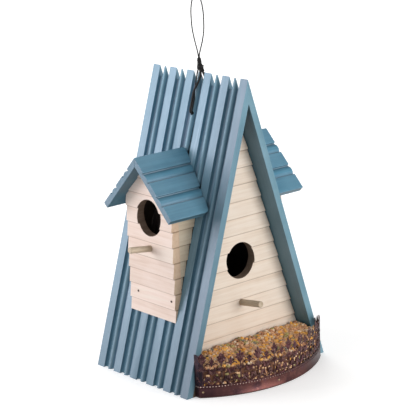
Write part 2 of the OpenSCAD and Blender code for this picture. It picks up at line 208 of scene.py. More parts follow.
class Recipe:
    """A principled material under construction, whose methods add nodes and return their outputs."""

    def __init__(self, name, roughness=0.5, metallic=0.0, **sockets):
        self.material = bpy.data.materials.new(name)
        self.material.use_nodes = True
        self.nodes = self.material.node_tree.nodes
        self.links = self.material.node_tree.links
        self.shader = self.nodes["Principled BSDF"]
        self.set("Roughness", roughness)
        self.set("Metallic", metallic)
        for socket, value in sockets.items():
            self.set(socket.replace("_", " "), value)

    def set(self, socket, value):
        self.put(self.shader.inputs[socket], value)

    def put(self, socket, value):
        if isinstance(value, bpy.types.NodeSocket):
            self.links.new(value, socket)
        else:
            socket.default_value = value

    def add(self, kind, inputs=(), out=0, **settings):
        node = self.nodes.new("ShaderNode" + kind)
        for key, value in settings.items():
            setattr(node, key, value)
        for socket, value in dict(inputs).items():
            self.put(node.inputs[socket], value)
        return node.outputs[out]

    def place(self, rotation=(0, 0, 0), shift=(0, 0, 0)):
        where = self.add("TexCoord", out=3)
        return self.add("Mapping", {"Vector": where, "Rotation": rotation, "Location": shift})

    def normal(self):
        return self.add("TexCoord", out=1)

    def part(self, vector, axis):
        """A vector's X, Y or Z, for axis 0, 1 or 2."""
        return self.add("SeparateXYZ", {0: vector}, out=axis)

    def stretch(self, vector, by):
        return self.add("VectorMath", {0: vector, 1: by}, operation="MULTIPLY")

    def scale(self, vector, by):
        return self.add("VectorMath", {0: vector, 3: by}, operation="SCALE")

    def noise(self, vector, scale, detail=4, roughness=0.55, distortion=0.0):
        return self.add("TexNoise", {
            "Vector": vector, "Scale": scale, "Detail": detail, "Roughness": roughness,
            "Distortion": distortion
        })

    def ramp(self, value, *stops):
        node = self.nodes.new("ShaderNodeValToRGB")
        elements = node.color_ramp.elements
        while len(elements) < len(stops):
            elements.new(0.5)
        for element, (at, colour) in zip(elements, stops):
            element.position = at
            element.color = (*colour, 1)
        self.put(node.inputs[0], value)
        return node.outputs[0]

    def level(self, value, low, high, to_low=0.0, to_high=1.0):
        return self.add("MapRange", {
            "Value": value, "From Min": low, "From Max": high, "To Min": to_low, "To Max": to_high
        }, clamp=True)

    def mix(self, factor, a, b, blend="MIX"):
        node = self.nodes.new("ShaderNodeMix")
        node.data_type, node.blend_type = "RGBA", blend
        self.put(node.inputs[0], factor)
        for socket, value in ((6, a), (7, b)):
            self.put(node.inputs[socket], (*value, 1) if isinstance(value, tuple) else value)
        return node.outputs[2]

    def tinted(self, colour, tint):
        return self.mix(1.0, colour, tint, "MULTIPLY")

    def calc(self, operation, a, b=0.0):
        return self.add("Math", {0: a, 1: b}, operation=operation)

    def times(self, a, b):
        return self.calc("MULTIPLY", a, b)

    def pointed(self):
        return self.add("NewGeometry", out=7)

    def bump(self, height, distance, strength=1.0, below=None):
        inputs = {"Height": height, "Distance": distance, "Strength": strength}
        if below is not None:
            inputs["Normal"] = below
        return self.add("Bump", inputs)

    def finish(self, colour, roughness, normal):
        """Links what the shader takes, and gives the material."""
        self.set("Base Color", colour)
        self.set("Normal", normal)
        if roughness is not None:
            self.set("Roughness", roughness)
        return self.material


def tinted_trio(colours, tint):
    """Three colours for a ramp, each multiplied by a tint."""
    return ([c * t for c, t in zip(colour, tint)] for colour in colours)


# The turn that brings each grain direction onto the texture's X axis
GRAIN_TURN = {
    "x": (0, 0, 0),
    "y": (0, 0, -math.pi / 2),
    "right_slope": (0, -(math.pi / 2 - LEAN), 0),
    "left_slope": (0, -(math.pi / 2 + LEAN), 0),
}


def blue_paint(name, grain, seed, tint=(1, 1, 1), edge=(1, 1, 1), edge_axis=1, groove_shading=(1, 1, 1),
               shaded_bare_inside=False, gloss=1.0, painted_falloff=False):
    """Satin blue-grey paint on milled softwood: faint streaks, raised grain, and rubbed edges.

    The faces square to edge_axis also take a tint that is painted light: it recolours them for the light and
    sheen that fall on them. The grooves take a tint of their own: painted light where it lightens them,
    painted shade where it darkens them. With the falloff on, the paint carries painted shade towards the foot
    and the front of the house, and a painted highlight towards the ridge.
    """
    r = Recipe(name, roughness=0.4, Specular_IOR_Level=gloss, Specular_Tint=(0.76, 0.81, 1.0, 1.0))
    along = r.place(GRAIN_TURN[grain], (seed, seed * 0.7, seed * 1.3))
    streak = r.noise(r.stretch(along, (9, 420, 420)), 1, 3)
    brushed = r.noise(r.stretch(along, (30, 1500, 1500)), 1, 2)
    cloud = r.noise(along, 26, 3)
    dark, mid, pale = tinted_trio(((0.062, 0.158, 0.212), (0.082, 0.196, 0.254), (0.108, 0.232, 0.296)), tint)
    colour = r.ramp(r.mix(0.45, streak, cloud), (0.34, dark), (0.5, mid), (0.66, pale))
    fleck = r.level(brushed, 0.62, 0.74)
    colour = r.mix(r.times(fleck, 0.3), colour, (0.20, 0.33, 0.44))
    worn = r.level(r.calc("ADD", r.pointed(), r.times(cloud, 0.06)), 0.56, 0.66)
    colour = r.mix(r.times(worn, 0.5), colour, (0.30, 0.42, 0.52))
    # Painted light: the faces square to edge_axis (on the main roof only its end faces) take the edge tint,
    # which recolours them for the light and sheen they get
    cut = r.level(r.calc("ABSOLUTE", r.part(r.normal(), edge_axis)), 0.85, 0.95)
    y, z = (r.part(r.place(), k) for k in (1, 2))
    if edge_axis == 1:
        off_middle = r.calc("ABSOLUTE", r.calc("SUBTRACT", y, MID_Y))
        cut = r.times(cut, r.level(off_middle, ROOF_HALF_L - 1 * MM, ROOF_HALF_L - 0.5 * MM))
    colour = r.mix(cut, colour, r.tinted(colour, edge))
    deep = groove_depth(r, grain)
    # Painted light and shade in the grooves: they take the groove tint, which lightens the main roof's grooves
    # and darkens the dormer roofs'
    milled = r.times(r.level(deep, 0.4 * MM, 3.0 * MM), r.level(deep, 3.8 * MM, 4.4 * MM, 1, 0))
    milled = r.times(milled, r.calc("SUBTRACT", 1.0, cut))
    shaded_groove = r.tinted(colour, groove_shading)
    # Painted shade towards the foot and painted highlight towards the ridge
    if painted_falloff:
        colour = r.scale(colour, r.level(z, 0, RIDGE_Z, 0.75, 1.34))
    colour = r.mix(milled, colour, shaded_groove)
    # Painted shade along the front of the roof
    if painted_falloff:
        colour = r.scale(colour, r.level(y, ROOF_FRONT, ROOF_FRONT + 50 * MM, 0.58, 1.0))
    # Painted shade on faces that look down, such as the dormer roofs' soffits and the roof boards' inner faces
    underside_shade = r.level(r.part(r.normal(), 2), -0.36, -0.2, 1, 0)
    colour = r.mix(underside_shade, colour, r.tinted(colour, (0.58, 0.66, 0.64)))
    roughness = r.level(streak, 0.3, 0.7, 0.36, 0.5)
    if shaded_bare_inside:
        inside = bare_or_shaded_inside(r)
        # Bare wood inside the house, made near-black as painted shade
        shaded_bare = r.ramp(streak, (0.3, (0.03, 0.022, 0.017)), (0.7, (0.06, 0.043, 0.031)))
        colour = r.mix(inside, colour, shaded_bare)
        roughness = r.calc("MAXIMUM", inside, roughness)
    return r.finish(colour, roughness, r.bump(brushed, 0.1 * MM, 0.5, r.bump(streak, 0.25 * MM, 0.5)))


def groove_depth(r, grain):
    """How deep a point lies under the outer face of the main roof, or of a dormer's roof for grain "x"."""
    x, y, z = (r.part(r.place(), k) for k in range(3))
    across = r.calc("ABSOLUTE", r.calc("SUBTRACT", y, MID_Y) if grain == "x" else x)
    tilt, ridge = (math.pi / 2 - DORMER_PITCH, DORMER_RIDGE_Z) if grain == "x" else (LEAN, RIDGE_Z)
    down = r.times(r.calc("SUBTRACT", ridge, z), math.sin(tilt))
    return r.calc("SUBTRACT", down, r.times(across, math.cos(tilt)))


def bare_or_shaded_inside(r):
    """1 where a roof board takes near-black bare wood as painted shade: the faces that look into the house,
    those shut in by a dormer, and a 5 mm strip of groove beyond each cheek.
    """
    y, z = (r.part(r.place(), k) for k in (1, 2))
    between = r.times(r.calc("GREATER_THAN", y, WALL_INSIDE), r.calc("LESS_THAN", y, BACK_INSIDE))
    indoors = r.times(between, r.calc("LESS_THAN", r.part(r.normal(), 2), -0.1))
    off_middle = r.calc("ABSOLUTE", r.calc("SUBTRACT", y, MID_Y))
    room_foot, room_peak = 72 * MM, 216 * MM
    under_roof = r.calc("LESS_THAN", r.calc("ADD", z, off_middle), room_peak)
    above_foot = r.calc("GREATER_THAN", z, room_foot)
    # Painted shade: in the grooves the shut-in region reaches 5 mm further out past each cheek
    under_cheek = r.times(r.calc("GREATER_THAN", groove_depth(r, "slope"), 0.3 * MM), 5 * MM)
    between_cheeks = r.calc("LESS_THAN", off_middle, r.calc("ADD", under_cheek, CHEEK_OFF))
    shut_in = r.times(r.times(under_roof, above_foot), between_cheeks)
    return r.calc("MAXIMUM", indoors, shut_in)


def painted_lap_shadow(r, laps):
    """1 in the painted shadow just under the foot of each lap, fading down to 0."""
    pitch = LAP_PITCH[laps]
    # Ten laps further down than the lowest one, so that the height to divide is never negative
    start = LAP_FOOT[laps] - 10 * pitch
    share = r.calc("FRACT", r.calc("DIVIDE", r.calc("SUBTRACT", r.part(r.place(), 2), start), pitch))
    return r.level(share, 1 - 1.7 * MM / pitch, 1 - 0.7 * MM / pitch)


def cream_wash(name, grain, seed, tint, laps=None, bare_ends=False):
    """Thin cream wash over pale wood: the grain shows faintly, and a painted shadow darkens the seam under
    each lap.

    With bare_ends, the cut ends that face the front and back of the house are barer and browner.
    """
    r = Recipe(name, roughness=0.55, Specular_IOR_Level=0.35)
    along = r.place(GRAIN_TURN[grain], (seed, seed * 1.7, seed * 0.6))
    streak = r.noise(r.stretch(along, (14, 330, 330)), 1, 4, distortion=0.4)
    pores = r.noise(r.stretch(along, (60, 2200, 2200)), 1, 2)
    cloud = r.noise(along, 34, 2)
    deep, mid, pale = tinted_trio(((0.70, 0.595, 0.485), (0.77, 0.68, 0.575), (0.81, 0.735, 0.64)), tint)
    colour = r.ramp(r.mix(0.35, streak, cloud), (0.34, deep), (0.48, mid), (0.62, pale))
    fleck = r.level(pores, 0.66, 0.78)
    colour = r.mix(r.times(fleck, 0.3), colour, (0.5, 0.37, 0.25))
    worn = r.level(r.pointed(), 0.55, 0.64)
    colour = r.mix(r.times(worn, 0.35), colour, (0.84, 0.77, 0.68))
    if laps:
        # Painted shadow under the foot of each lap
        lap_shadow = r.times(painted_lap_shadow(r, laps), r.level(cloud, 0.2, 0.7, 0.95, 0.6))
        colour = r.mix(lap_shadow, colour, (0.24, 0.165, 0.11))
    if bare_ends:
        end = r.level(r.calc("ABSOLUTE", r.part(r.normal(), 1)), 0.85, 0.95)
        colour = r.mix(end, colour, r.tinted(colour, (0.80, 0.70, 0.56)))
    grain_bump = r.bump(streak, 0.2 * MM, 0.45)
    return r.finish(colour, r.level(cloud, 0.3, 0.7, 0.48, 0.66), r.bump(pores, 0.08 * MM, 0.5, grain_bump))


def raw_wood(name, grain, dark, light, seed):
    """Bare wood: long soft streaks, pores and fine fibres."""
    r = Recipe(name, roughness=0.7, Specular_IOR_Level=0.3)
    along = r.place(GRAIN_TURN[grain], (seed, seed * 0.4, seed * 1.1))
    streak = r.noise(r.stretch(along, (16, 380, 380)), 1, 3, distortion=0.3)
    cloud = r.noise(along, 40, 2)
    fibre = r.noise(r.stretch(along, (40, 1800, 1800)), 1, 3)
    colour = r.ramp(r.mix(0.35, streak, cloud), (0.32, dark), (0.68, light))
    colour = r.mix(r.times(r.level(fibre, 0.5, 0.75), 0.35), colour, tuple(c * 0.6 for c in dark))
    return r.finish(colour, None, r.bump(fibre, 0.15 * MM, 0.6))


def aged_copper(name, bright, dark, patina, rub_and_glint, seed=0.0, roughness=0.36, rubbed=0.6,
                shaded_ends=0.0, shade_right=0.0):
    """Browned copper sheet: cloudy oxide, bright on raised edges as rubbed wear and painted highlight, and
    painted shade towards one end or both.
    """
    r = Recipe(name, roughness=roughness, metallic=0.85)
    where = r.place(shift=(seed, seed, seed))
    cloud = r.noise(where, 60, 5, 0.6)
    speck = r.noise(where, 700, 3)
    scratch = r.noise(r.stretch(where, (300, 300, 4000)), 1, 2)
    colour = r.ramp(cloud, (0.35, dark), (0.55, bright), (0.72, patina))
    colour = r.mix(r.times(r.level(speck, 0.55, 0.7), 0.5), colour, dark)
    # Rubbed wear and painted highlight on the raised edges
    rub_and_glint_mask = r.level(r.calc("ADD", r.pointed(), r.times(r.noise(where, 420, 2), 0.3)), 0.70, 0.80)
    colour = r.mix(r.times(rub_and_glint_mask, rubbed), colour, rub_and_glint)
    # Painted shade towards the right end
    if shade_right:
        right = r.level(r.part(r.place(), 0), -45 * MM, 25 * MM)
        colour = r.mix(r.times(right, shade_right), colour, dark)
    # Painted shade towards both ends of the strip
    if shaded_ends:
        off = r.calc("ABSOLUTE", r.part(r.place(), 0))
        end_shade = r.level(r.calc("ADD", off, r.times(cloud, 20 * MM)), 35 * MM, 85 * MM)
        colour = r.mix(r.times(end_shade, shaded_ends), colour, dark)
    roughness = r.level(cloud, 0.3, 0.7, roughness - 0.08, roughness + 0.16)
    return r.finish(colour, roughness, r.bump(scratch, 0.03 * MM, 0.5, r.bump(speck, 0.08 * MM, 0.5)))


def seed_skin(name, pale, dark, scale, striped=False):
    """The skin of one kind of grain, a little different from grain to grain."""
    r = Recipe(name, roughness=0.6, Specular_IOR_Level=0.25)
    where = r.place()
    per_grain = r.noise(where, 130, 1)
    close = r.noise(where, scale, 3)
    colour = r.ramp(r.mix(0.35, per_grain, close), (0.36, dark), (0.62, pale))
    if striped:
        wave = {"Vector": where, "Scale": 260, "Distortion": 2.5}
        bands = r.add("TexWave", wave, bands_direction="DIAGONAL")
        colour = r.mix(r.level(bands, 0.55, 0.8), colour, (0.5, 0.46, 0.38))
    return r.finish(colour, None, r.bump(close, 0.15 * MM, 0.5))


def waxed_cord(name):
    """Black waxed cord with fine fibres."""
    r = Recipe(name, roughness=0.6, Specular_IOR_Level=0.25)
    fibre = r.noise(r.place(), 1600, 3)
    colour = r.ramp(fibre, (0.35, (0.006, 0.006, 0.007)), (0.7, (0.022, 0.020, 0.020)))
    return r.finish(colour, r.level(fibre, 0.3, 0.7, 0.5, 0.7), r.bump(fibre, 0.08 * MM, 0.6))


def plain_metal(name, bright, dark, roughness=0.34):
    """Bare metal with cloudy tarnish."""
    r = Recipe(name, roughness=roughness, metallic=1.0)
    cloud = r.noise(r.place(), 400, 4)
    colour = r.ramp(cloud, (0.35, dark), (0.65, bright))
    roughness = r.level(cloud, 0.3, 0.7, roughness - 0.06, roughness + 0.12)
    return r.finish(colour, roughness, r.bump(cloud, 0.05 * MM, 0.4))


BORE_WOOD = raw_wood("bore_wood", "x", (0.20, 0.135, 0.095), (0.34, 0.24, 0.18), 0.3)
# Bare inner wood, made near-black as painted shade inside the house
SHADED_INSIDE_WOOD = raw_wood("shaded_inside_wood", "y", (0.035, 0.026, 0.02), (0.07, 0.05, 0.036), 1.3)
# Very dark wood for the base board
DARK_BASE_WOOD = raw_wood("dark_base_wood", "y", (0.055, 0.036, 0.026), (0.10, 0.07, 0.048), 0.8)
CORD = waxed_cord("waxed_cord")


# ---------- boards ----------

def bore_test(axis, centre_z):
    """True for a face on the wall of an entry hole whose axis is along X or Y."""
    across = 1 if axis == "x" else 0
    middle = MID_Y if axis == "x" else 0.0

    def inside(centre, normal):
        reach = math.hypot(centre[across] - middle, centre.z - centre_z)
        facing = abs(normal.x if axis == "x" else normal.y)
        return reach < ENTRY_R + 0.3 * MM and facing < 0.5

    return inside


def round_roof_end(shape, sign):
    """Rounds the ridge and eave corners of a dormer's roof board, at the end that meets the main roof."""
    to_roof = Vector((-sign * math.cos(LEAN), 0, -math.sin(LEAN)))
    corners = []
    for edge in shape.edges:
        if len(edge.link_faces) == 2 and edge.calc_length() > 4 * MM:
            a, b = sorted((face.normal for face in edge.link_faces), key=lambda n: -n.dot(to_roof))
            if a.dot(to_roof) > 0.95 and abs(b.x) < 0.05 and (abs(b.y) > 0.99 or b.z < -0.5):
                corners.append(edge)
    bmesh.ops.bevel(shape, geom=corners, offset=4 * MM, offset_type="OFFSET", segments=6, profile=0.5,
                    affect="EDGES")


def board(node, material, bevel=0.45 * MM, bore=None, inward=None, body="house", round_against=0):
    """A copy of a CAD board with its edges eased, which stands for the board.

    Faces that bore accepts are raw wood, and those that face inward are the bare inside of the house, made
    near-black as painted shade.
    A board of the roof on side round_against has the corners that meet the main roof rounded.
    """
    shape = bmesh.new()
    shape.from_mesh(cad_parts[node].data)
    bmesh.ops.remove_doubles(shape, verts=shape.verts, dist=0.002 * MM)
    bmesh.ops.dissolve_limit(shape, angle_limit=math.radians(0.6), verts=shape.verts, edges=shape.edges)
    for face in shape.faces:
        if bore is not None and bore(face.calc_center_median(), face.normal):
            face.material_index = 1
        elif inward is not None and face.normal.dot(Vector(inward)) > 0.8:
            face.material_index = 2
    if round_against:
        round_roof_end(shape, round_against)
    mesh = bpy.data.meshes.new(node + "_board")
    shape.to_mesh(mesh)
    shape.free()
    smooth_mesh(mesh, 32)
    woods = [material, BORE_WOOD, SHADED_INSIDE_WOOD][:3 if inward else 2 if bore else 1]
    piece = add_object(node + "_board", mesh, body, woods)
    ease = piece.modifiers.new("eased_edges", "BEVEL")
    ease.width = bevel
    ease.segments = 2
    ease.limit_method = "ANGLE"
    ease.angle_limit = math.radians(38)
    ease.use_clamp_overlap = True
    ease.harden_normals = True
    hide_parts(node)
    return piece


# The dormer roofs' paint against the main roof's
SLAB_TINT = {"left": (0.96, 1.20, 1.32), "right": (0.87, 1.30, 1.46)}


def make_boards():
    for side, sign in SIDES.items():
        hole = bore_test("x", DORMER_ENTRY_Z)
        # Painted light: the edge tint lightens the roof boards' end faces, on the left also making up for the
        # painted shade along the front; the groove tint lightens the grooves, and the falloff paints shade
        # towards the left board's foot and front
        paint = blue_paint(f"{side}_roof_paint", f"{side}_slope", sign,
                           edge=(1.54, 1.60, 1.58) if side == "left" else (1.20, 1.22, 1.18),
                           groove_shading=(1.60, 1.34, 1.36), shaded_bare_inside=True, gloss=0.8, painted_falloff=side == "left")
        board(f"roof_panel_{side}", paint, 0.5 * MM, hole)
        cream = cream_wash(f"{side}_dormer_cream", "y", sign * 2, (1.04, 0.955, 0.985), "dormer", True)
        board(f"{side}_dormer_front", cream, 0.35 * MM, hole, (-sign, 0, 0))
        cheek = cream_wash(f"{side}_cheek_cream", "x", sign * 3, (0.8, 0.75, 0.66), "dormer")
        # Painted light and shade: the edge tint greys the dormer roofs' ends like a sheen, and the groove tint
        # darkens their grooves
        slab = blue_paint(f"{side}_dormer_paint", "x", sign * 4, SLAB_TINT[side], (0.9, 0.70, 0.66), 0,
                          (0.70, 0.52, 0.47), gloss=0.8)
        for place, away in (("fore", 1), ("aft", -1)):
            board(f"{side}_dormer_side_{place}", cheek, 0.35 * MM, inward=(0, away, 0))
            board(f"{side}_dormer_roof_{place}", slab, 0.7 * MM, round_against=sign)
    front = cream_wash("front_cream", "x", 5.0, (1.05, 1.01, 1.0), laps="front")
    board("front_wall", front, 0.35 * MM, bore_test("y", FRONT_ENTRY_Z), (0, 1, 0))
    back = cream_wash("back_cream", "x", 6.0, (0.95, 0.93, 0.9))
    board("back_wall", back, inward=(0, -1, 0))
    board("base_board", DARK_BASE_WOOD, 0.6 * MM)
    cover = blue_paint("cover_paint", "x", 7.0)
    board("cleanout_cover", cover, 0.8 * MM, body="cover")


def make_perches():
    grain = {"front_perch": "y", "left_perch": "x", "right_perch": "x"}
    for index, (node, axis) in enumerate(grain.items()):
        wood = raw_wood(f"{node}_wood", axis, (0.41, 0.32, 0.225), (0.66, 0.55, 0.42), index * 1.7)
        board(node, wood, 0.4 * MM)


# ---------- fasteners ----------

def dome(centre, outward, radius, height, sides=24, rings=5):
    """A shallow round head on a surface, closed by a flat foot."""
    outward = Vector(outward).normalized()
    u = outward.orthogonal().normalized()
    v = outward.cross(u)
    points = []
    for i in range(rings):
        t = i / rings * math.pi / 2
        for k in range(sides):
            a = math.tau * k / sides
            across = (u * math.cos(a) + v * math.sin(a)) * radius * math.cos(t)
            points.append(Vector(centre) + across + outward * height * math.sin(t))
    return points, ring_faces(rings, sides)


def on_bow(angle, z, out=0.0):
    """A point on the tray's bowed front, and the direction straight out of it."""
    outward = Vector((math.sin(angle), -math.cos(angle), 0))
    return Vector((0, TRAY_CENTRE_Y, z)) + outward * (TRAY_R + out), outward


def make_tray_pins():
    heads = Heap()
    pin_z, sunk, head_r, head_h = 6.2 * MM, 0.1 * MM, 1.1 * MM, 0.6 * MM
    for degrees in (-39.3, -2.1, 39.3):
        place, outward = on_bow(math.radians(degrees), pin_z, -sunk)
        heads.add(*dome(place, outward, head_r, head_h))
    brass = plain_metal("pin_brass", (0.40, 0.29, 0.17), (0.18, 0.12, 0.075), 0.35)
    pins = add_object("tray_pin_heads", heads.mesh("tray_pin_heads", 40), materials=[brass])
    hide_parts("tray_pins")


def make_brads():
    steel = plain_metal("brad_steel", (0.10, 0.07, 0.06), (0.03, 0.02, 0.02), 0.5)
    for side in SIDES:
        board(f"{side}_dormer_brads", steel, 0.12 * MM)


def make_cover_screw():
    """A pan-head screw with a cross recess."""
    low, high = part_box("cover_screw")
    centre = Vector(((low.x + high.x) / 2, 0, (low.z + high.z) / 2))
    head_h, shank_r, slot_l, slot_w, slot_deep = 2.4 * MM, 1.7 * MM, 3.9 * MM, 0.95 * MM, 3.0 * MM
    foot, top = high.y - head_h, high.y
    head_r = (high.x - low.x) / 2
    head = bmesh.new()
    sides, profile = 48, []
    for i in range(8):
        t = i / 8 * math.pi / 2
        profile.append((head_r * math.cos(t) ** 0.6, foot + (top - foot) * math.sin(t)))
    rings = [(shank_r, low.y), (shank_r, foot)] + profile
    circle = [(math.cos(math.tau * k / sides), math.sin(math.tau * k / sides)) for k in range(sides)]
    points = [(centre.x + reach * c, y, centre.z + reach * s) for reach, y in rings for c, s in circle]
    verts = [head.verts.new(p) for p in points]
    for face in ring_faces(len(rings), sides):
        head.faces.new([verts[i] for i in face])
    bmesh.ops.recalc_face_normals(head, faces=head.faces)
    mesh = bpy.data.meshes.new("cover_screw_head")
    head.to_mesh(mesh)
    head.free()
    smooth_mesh(mesh, 35)
    zinc = plain_metal("screw_zinc", (0.66, 0.63, 0.57), (0.42, 0.40, 0.36))
    screw = add_object("cover_screw_head", mesh, materials=[zinc])
    cutter = bpy.data.meshes.new("cross_cutter")
    cross = bmesh.new()
    for size_x, size_z in ((slot_l, slot_w), (slot_w, slot_l)):
        for v in bmesh.ops.create_cube(cross, size=1)["verts"]:
            taper = 0.45 if v.co.y < 0 else 1.0
            v.co = Vector((
                centre.x + v.co.x * size_x * (taper if size_x == slot_l else 1),
                top + v.co.y * slot_deep,
                centre.z + v.co.z * size_z * (taper if size_z == slot_l else 1)))
    cross.to_mesh(cutter)
    cross.free()
    tool = new_object("cross_cutter", cutter)
    cut = screw.modifiers.new("cross", "BOOLEAN")
    cut.object, cut.operation, cut.solver = tool, "DIFFERENCE", "EXACT"
    cut.use_self = True
    bpy.context.view_layer.update()
    final = bpy.data.meshes.new_from_object(screw.evaluated_get(bpy.context.evaluated_depsgraph_get()))
    screw.modifiers.clear()
    screw.data = final
    bpy.data.objects.remove(tool)
    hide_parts("cover_screw")


# ---------- the tray's copper strip ----------

ARC_HALF = TRAY_R * math.asin(TRAY_HALF_W / TRAY_R)
RETURN_L = ROOF_FRONT - (TRAY_CENTRE_Y - math.sqrt(TRAY_R ** 2 - TRAY_HALF_W ** 2))
STRIP_HALF = ARC_HALF + RETURN_L
BEAD_PITCH = 3.0 * MM


def on_strip(s, z, out):
    """The place at a distance along the strip from its middle, a height, and a distance out of its face."""
    s, z, out = np.broadcast_arrays(np.asarray(s, float), np.asarray(z, float), np.asarray(out, float))
    a = np.clip(s, -ARC_HALF, ARC_HALF) / TRAY_R
    beyond = np.maximum(np.abs(s) - ARC_HALF, 0)
    on_side = beyond > 0
    nx = np.where(on_side, np.sign(s), np.sin(a))
    ny = np.where(on_side, 0.0, -np.cos(a))
    x = TRAY_R * np.sin(a) + nx * out
    y = TRAY_CENTRE_Y - TRAY_R * np.cos(a) + beyond + ny * out
    return np.stack([x, y, z], axis=-1)


def swept_profile(profile, stations):
    """A closed cross-section of (out, z) points, swept along the strip."""
    profile = np.array(profile) * MM
    points = np.concatenate([on_strip(s, profile[:, 1], profile[:, 0]) for s in stations])
    return points, ring_faces(len(stations), len(profile))


def strip_stations():
    arc = np.linspace(-ARC_HALF, ARC_HALF, 121)
    return np.concatenate([[-STRIP_HALF], arc, [STRIP_HALF]])


def bead(s, z, out, radius, sides=10, rings=6):
    """A ball on the strip."""
    centre = on_strip(s, z, out)
    points = [centre + (0, 0, -radius)]
    for i in range(1, rings):
        t = math.pi * i / rings
        for k in range(sides):
            a = math.tau * k / sides
            away = np.array((math.sin(t) * math.cos(a), math.sin(t) * math.sin(a), -math.cos(t)))
            points.append(centre + radius * away)
    points.append(centre + (0, 0, radius))
    faces = [[0, 1 + (k + 1) % sides, 1 + k] for k in range(sides)]
    for i in range(rings - 2):
        a, b = 1 + i * sides, 1 + (i + 1) * sides
        faces += [[a + k, a + (k + 1) % sides, b + (k + 1) % sides, b + k] for k in range(sides)]
    last = 1 + (rings - 2) * sides
    faces += [[last + k, last + (k + 1) % sides, len(points) - 1] for k in range(sides)]
    return np.array(points), faces


def make_tray_rim():
    """The plain strip round the base board, with a rolled foot and a row of small beads along its top."""
    z0, z1 = RIM_LOW.z / MM, RIM_HIGH.z / MM
    profile = [
        (-0.8, z0), (-0.1, z0), (0.25, z0 + 0.25), (0.35, z0 + 0.7), (0.2, z0 + 1.2), (0, z0 + 1.5),
        (0, z1 - 2.9), (0.25, z1 - 2.7), (0.3, z1 - 2.4), (0.2, z1 - 2.1), (0, z1 - 2.0), (0, z1), (-0.8, z1)
    ]
    work = Heap()
    work.add(*swept_profile(profile, strip_stations()))
    beads = int(2 * STRIP_HALF / BEAD_PITCH)
    for i in range(beads):
        s = ((i + 0.5) / beads * 2 - 1) * STRIP_HALF
        work.add(*bead(s, (z1 - 1.0) * MM, -0.3 * MM, 0.75 * MM, 8, 5), slot=1)
    copper = aged_copper("rim_copper", (0.125, 0.046, 0.038), (0.046, 0.019, 0.023), (0.09, 0.042, 0.060),
                         (0.28, 0.13, 0.11), shaded_ends=0.85)
    # The bead row's bright copper is partly rubbed wear, partly painted highlight, with painted shade towards
    # the right end
    rubbed = aged_copper("bead_rub_and_glint_copper", (0.52, 0.38, 0.32), (0.06, 0.03, 0.032), (0.40, 0.30, 0.27),
                         (0.62, 0.48, 0.42), 5.0, 0.3, 0.7, shade_right=0.9)
    rim = add_object("tray_rim_strip", work.mesh("tray_rim_strip", 40), materials=[copper, rubbed])
    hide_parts("tray_rim")


class Filigree(Heap):
    """Leaves, scrolls and beads laid out on the unrolled strip, in millimetres, and bent onto it."""

    def stroke(self, route, widths, thick=0.95, lift=0.0, sides=8):
        """A tapering, slightly domed stroke through (s, z) points."""
        route = smooth_route(route, 4) if len(route) > 2 else np.linspace(route[0], route[1], 5)
        t = np.linspace(0, 1, len(route))
        widths = 1.18 * np.interp(t, np.linspace(0, 1, len(widths)), widths)
        ahead = np.gradient(route, axis=0)
        ahead /= np.linalg.norm(ahead, axis=1)[:, None]
        across = np.stack([-ahead[:, 1], ahead[:, 0]], axis=1)
        points = []
        for p, n, w in zip(route, across, widths):
            a = math.tau * np.arange(sides) / sides
            flat = p + np.outer(np.cos(a) * w / 2, n)
            out = -0.4 + lift + np.sin(a) * min(thick, 0.35 + w * 0.5) / 2
            points.append(on_strip(flat[:, 0] * MM, flat[:, 1] * MM, out * MM))
        self.add(np.concatenate(points), ring_faces(len(route), sides))

    def leaf(self, foot, tip, width, bend=0.0, lift=0.0):
        foot, tip = np.array(foot, float), np.array(tip, float)
        middle = (foot + tip) / 2 + bend * np.array((-(tip - foot)[1], (tip - foot)[0]))
        widths = [share * width for share in (0.25, 0.8, 1.0, 0.75, 0.12)]
        self.stroke([foot, middle, tip], widths, 1.1, lift)

    def flower(self, s, z, radius, petals, turn=0.0, lift=0.25):
        for k in range(petals):
            a = turn + math.tau * k / petals
            away = np.array((math.cos(a), math.sin(a)))
            centre = np.array((s, z))
            self.leaf(centre + 0.2 * radius * away, centre + radius * away, 3.4 / petals * radius, 0.08, lift)
        size = 0.26 * radius
        self.add(*bead(s * MM, z * MM, min(lift + 0.1, 0.45 - size) * MM, size * MM))

    def ball(self, s, z, radius):
        self.add(*bead(s * MM, z * MM, -0.2 * MM, radius * MM))

    def plate(self, s0, s1, z0, z1):
        """A plain part of the strip, in metres along it and in millimetres of height."""
        stations = np.linspace(s0, s1, 8)
        self.add(*swept_profile([(-0.8, z0), (0, z0), (0, z1), (-0.8, z1)], stations), slot=1)


